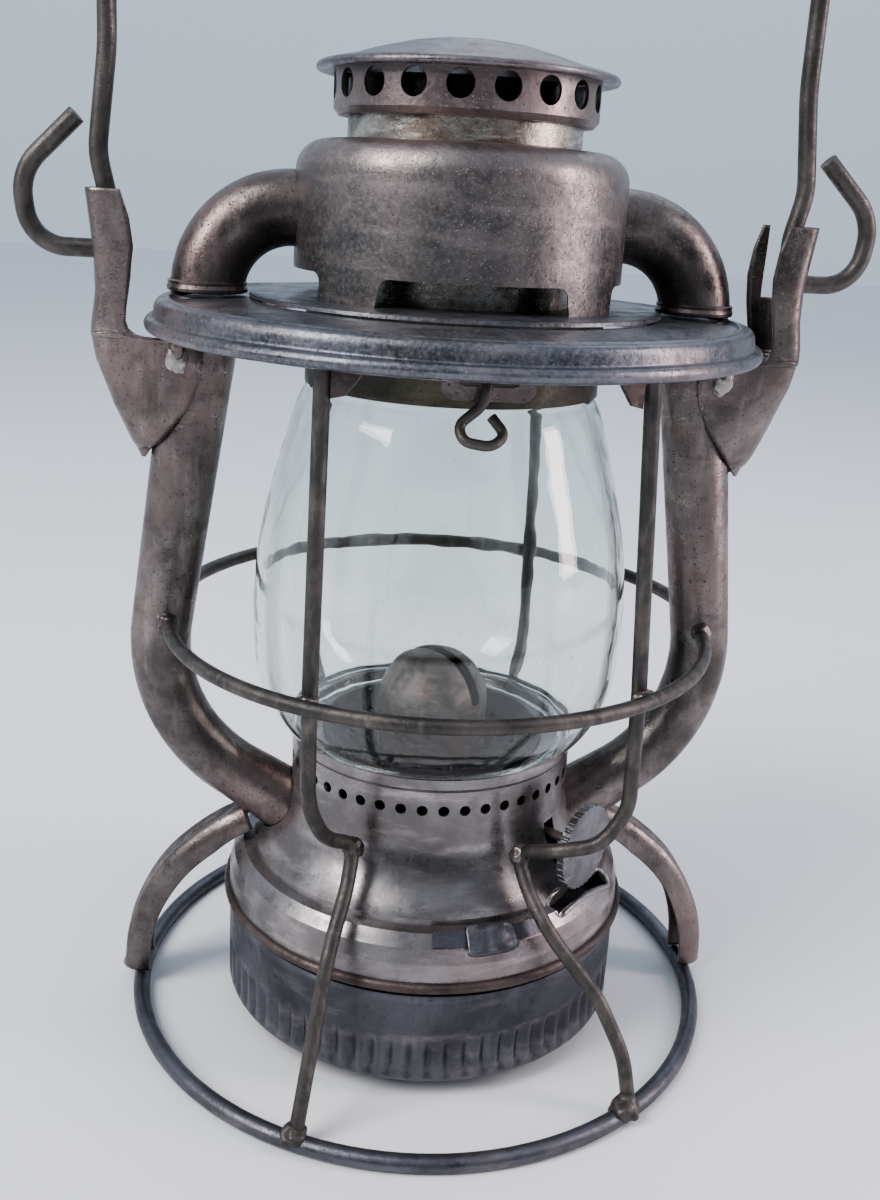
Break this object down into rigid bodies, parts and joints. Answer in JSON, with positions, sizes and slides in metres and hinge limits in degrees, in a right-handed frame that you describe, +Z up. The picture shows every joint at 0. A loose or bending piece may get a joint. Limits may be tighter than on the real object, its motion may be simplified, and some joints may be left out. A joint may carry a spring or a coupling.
{
  "type": "railway lantern",
  "caption": "Wire-caged tubular hand lantern with a glass globe, side air tubes, lift-off chimney top, drop-out fount and a swinging wire bail.",
  "frame": {"origin": "on the ground under the lantern's axis, at the centre of the base ring", "axes": "+Z up, the front with the latch towards -Y, the two side tubes along X"},
  "size_m": [0.2184, 0.1694, 0.3743],
  "materials": {
    "wire": "rough",
    "bail_wire": "worn",
    "tin": "weathered",
    "body_tin": "weathered",
    "plate_tin": "dull",
    "drum_tin": "dull",
    "flue_tin": "bright",
    "hood_tin": "dull",
    "fount_tin": "dark",
    "burner_metal": "tarnished",
    "knob_metal": "worn",
    "glass": "clear",
    "wick_cotton": "woven"
  },
  "bodies": {
    "frame": {"base_ring": "wire", "leg_right": "tin", "leg_left": "tin", "guard_wire_front_left": "wire", "guard_wire_front_right": "wire", "guard_wire_rear_left": "wire", "guard_wire_rear_right": "wire", "guard_hoop_front": "wire", "guard_hoop_rear": "wire", "guard_tab_front_left": "tin", "guard_tab_front_right": "tin", "guard_tab_rear_left": "tin", "guard_tab_rear_right": "tin", "wire_curl_front_left": "wire", "wire_curl_front_right": "wire", "wire_curl_rear_left": "wire", "wire_curl_rear_right": "wire", "body_shell": "body_tin", "rim_bead": "body_tin", "globe_seat": "body_tin", "side_tube_right": "tin", "side_tube_left": "tin", "guard_plate": "plate_tin", "ear_right": "tin", "ear_left": "tin", "latch_plate": "tin", "catch_keeper": "tin"},
    "bail": {"bail": "bail_wire"},
    "top": {"lid_plate": "plate_tin", "drum": "drum_tin", "elbow_right": "tin", "elbow_left": "tin", "elbow_collar_right": "tin", "elbow_collar_left": "tin", "chimney_band": "flue_tin", "cap_ring": "drum_tin", "cap_dome": "drum_tin", "globe_hood": "hood_tin"},
    "globe": {"globe": "glass"},
    "latch": {"latch_wire": "wire"},
    "catch": {"catch_strip": "tin"},
    "fount": {"fount_shell": "fount_tin", "fount_bottom": "fount_tin", "burner_collar": "burner_metal", "burner_body": "burner_metal", "burner_plate": "burner_metal", "burner_dome": "burner_metal", "wick_tube": "burner_metal"},
    "knob": {"wick_shaft": "burner_metal", "wick_wheel_near": "burner_metal", "wick_wheel_far": "burner_metal", "knob": "knob_metal"},
    "wick": {"wick": "wick_cotton"}
  },
  "joints": [
    {"name": "bail_swing", "type": "hinge", "parent": "frame", "child": "bail", "pos_m": [0, 0, 0.2095], "axis": [1, 0, 0], "range_deg": [-100, 0]},
    {"name": "top_lift", "type": "slide", "parent": "frame", "child": "top", "axis": [0, 0, 1], "range_m": [0, 0.1]},
    {"name": "globe_lift", "type": "slide", "parent": "frame", "child": "globe", "axis": [0, 0, 1], "range_m": [0, 0.045]},
    {"name": "latch_flick", "type": "hinge", "parent": "frame", "child": "latch", "pos_m": [0, -0.0618, 0.193], "axis": [1, 0, 0], "range_deg": [-25, 0]},
    {"name": "catch_slide", "type": "hinge", "parent": "frame", "child": "catch", "pos_m": [0, 0, 0.0465], "axis": [0, 0, 1], "range_deg": [-8, 4]},
    {"name": "fount_drop", "type": "slide", "parent": "frame", "child": "fount", "axis": [0, 0, 1], "range_m": [-0.075, 0]},
    {"name": "knob_turn", "type": "hinge", "parent": "fount", "child": "knob", "pos_m": [0.00234, 0.00247, 0.0615], "axis": [0.7254, -0.6884, 0], "range_deg": [-90, 120]},
    {"name": "wick_lift", "type": "slide", "parent": "fount", "child": "wick", "axis": [0, 0, 1], "range_m": [-0.0053, 0.004]}
  ],
  "couplings": [
    {"joint": "globe_lift", "follows": "top_lift", "ratio": 0.45},
    {"joint": "wick_lift", "follows": "knob_turn", "m_per_rad": -0.0025}
  ]
}
